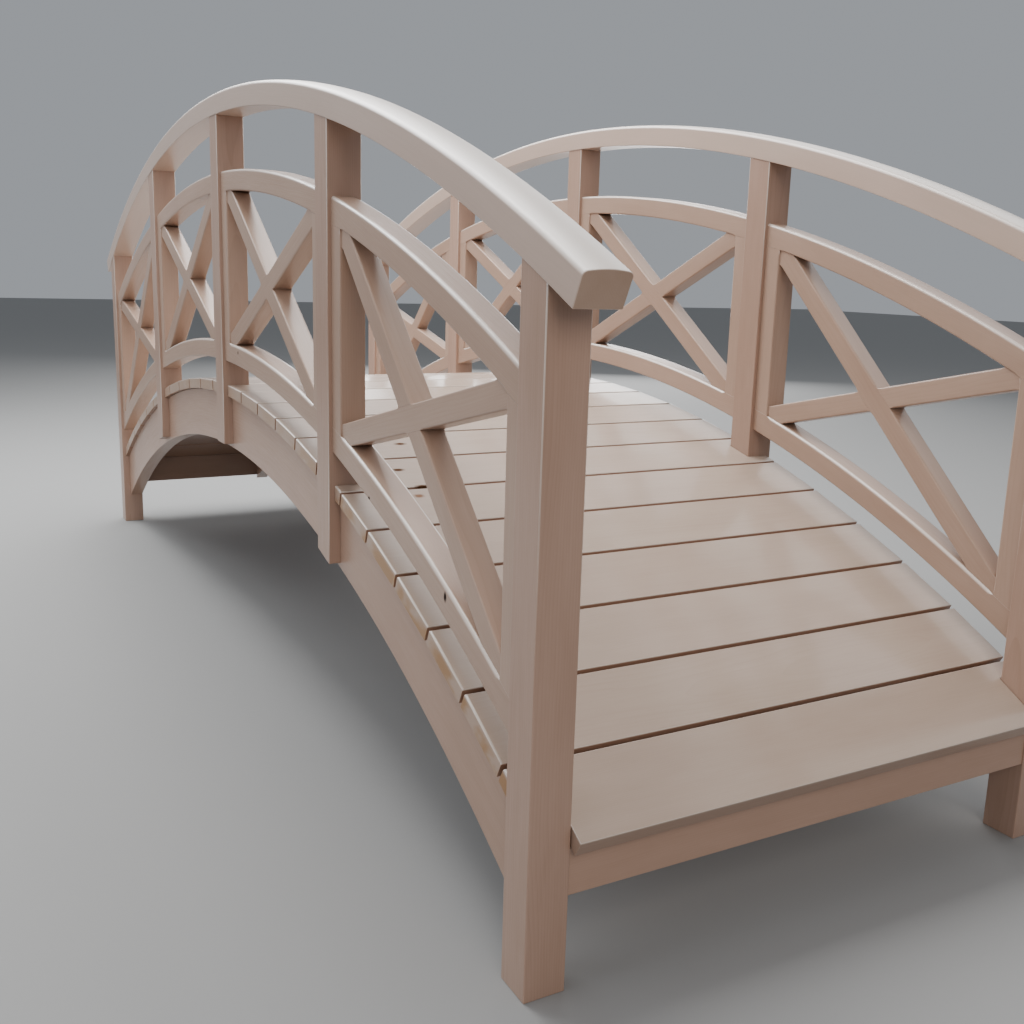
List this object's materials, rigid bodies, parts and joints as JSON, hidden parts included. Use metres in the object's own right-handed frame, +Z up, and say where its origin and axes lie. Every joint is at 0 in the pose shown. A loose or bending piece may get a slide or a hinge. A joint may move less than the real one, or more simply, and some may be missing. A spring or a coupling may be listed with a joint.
{
  "type": "arched timber footbridge",
  "caption": "Arched timber footbridge with notched posts, open cross-braced panels, a board deck on arched beams and crowned handrails.",
  "frame": {"origin": "on the ground under the middle of the bridge", "axes": "+X along the span towards the near end, +Y across the deck, +Z up"},
  "size_m": [4.8318, 1.548, 1.958],
  "materials": {
    "handrail": "thin pinkish-beige base coat, grain showing",
    "deck": "thin pinkish-beige base coat, grain showing",
    "panel": "thin pinkish-beige base coat, grain showing",
    "post": "thin pinkish-beige base coat, grain showing",
    "frame": "thin pinkish-beige base coat, grain showing"
  },
  "bodies": {
    "root": {"left_beam": "frame", "right_beam": "frame", "middle_beam": "frame", "near_fascia": "frame", "far_fascia": "frame", "near_ties": "frame", "middle_ties": "frame", "far_ties": "frame", "left_end_post_near": "post", "left_post_near": "post", "left_post_middle": "post", "left_post_far": "post", "left_end_post_far": "post", "right_end_post_near": "post", "right_post_near": "post", "right_post_middle": "post", "right_post_far": "post", "right_end_post_far": "post", "left_handrail": "handrail", "right_handrail": "handrail", "deck_boards_1": "deck", "deck_boards_2": "deck", "deck_boards_3": "deck", "deck_boards_4": "deck", "left_panel_1_frame": "panel", "left_panel_1_braces": "panel", "left_panel_2_frame": "panel", "left_panel_2_braces": "panel", "left_panel_3_frame": "panel", "left_panel_3_braces": "panel", "left_panel_4_frame": "panel", "left_panel_4_braces": "panel", "right_panel_1_frame": "panel", "right_panel_1_braces": "panel", "right_panel_2_frame": "panel", "right_panel_2_braces": "panel", "right_panel_3_frame": "panel", "right_panel_3_braces": "panel", "right_panel_4_frame": "panel", "right_panel_4_braces": "panel"}
  },
  "joints": []
}
